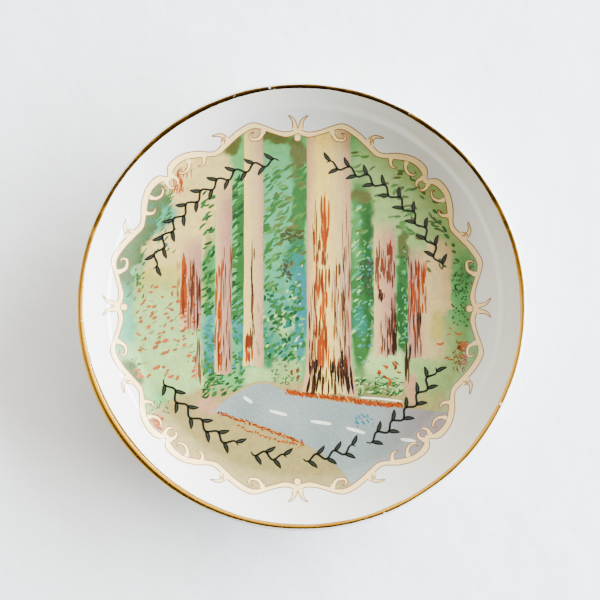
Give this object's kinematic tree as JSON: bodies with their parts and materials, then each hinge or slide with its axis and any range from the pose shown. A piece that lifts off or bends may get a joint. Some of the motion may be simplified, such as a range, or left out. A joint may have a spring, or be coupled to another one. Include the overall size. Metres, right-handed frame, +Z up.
{
  "type": "souvenir plate",
  "caption": "Small shallow round porcelain plate with a gilt lip, a cream scroll border and a printed woodland picture with leafy garlands.",
  "frame": {"origin": "on the plate's axis, at the table that the foot ring stands on", "axes": "+Z up along the plate's axis; +Y towards the top of the picture, +X towards its right"},
  "size_m": [0.102, 0.102, 0.015],
  "materials": {
    "porcelain": "unglazed fired biscuit",
    "glaze": "clear gloss glaze over white porcelain",
    "gilt": "burnished gold line, a little worn",
    "ground_enamel": "screen-printed enamel, gloss",
    "cream_enamel": "screen-printed enamel, gloss",
    "road_enamel": "screen-printed enamel, gloss",
    "bark_enamel": "screen-printed enamel, gloss",
    "dark_enamel": "screen-printed enamel, gloss"
  },
  "bodies": {
    "root": {"porcelain_body": "porcelain", "glaze_coat": "glaze", "glaze_foot_recess": "glaze", "gilt_rim": "gilt", "picture_ground": "ground_enamel", "scroll_border": "cream_enamel", "bead_right": "cream_enamel", "bead_top": "cream_enamel", "bead_left": "cream_enamel", "bead_bottom": "cream_enamel", "road": "road_enamel", "trunk_far_left": "bark_enamel", "trunk_left": "bark_enamel", "trunk_mid_left": "bark_enamel", "trunk_great": "bark_enamel", "trunk_mid_right": "bark_enamel", "trunk_right": "bark_enamel", "garland_upper_left": "dark_enamel", "garland_upper_right": "dark_enamel", "garland_lower_far_left": "dark_enamel", "garland_lower_left": "dark_enamel", "garland_lower_middle": "dark_enamel", "garland_lower_right": "dark_enamel"}
  },
  "joints": []
}
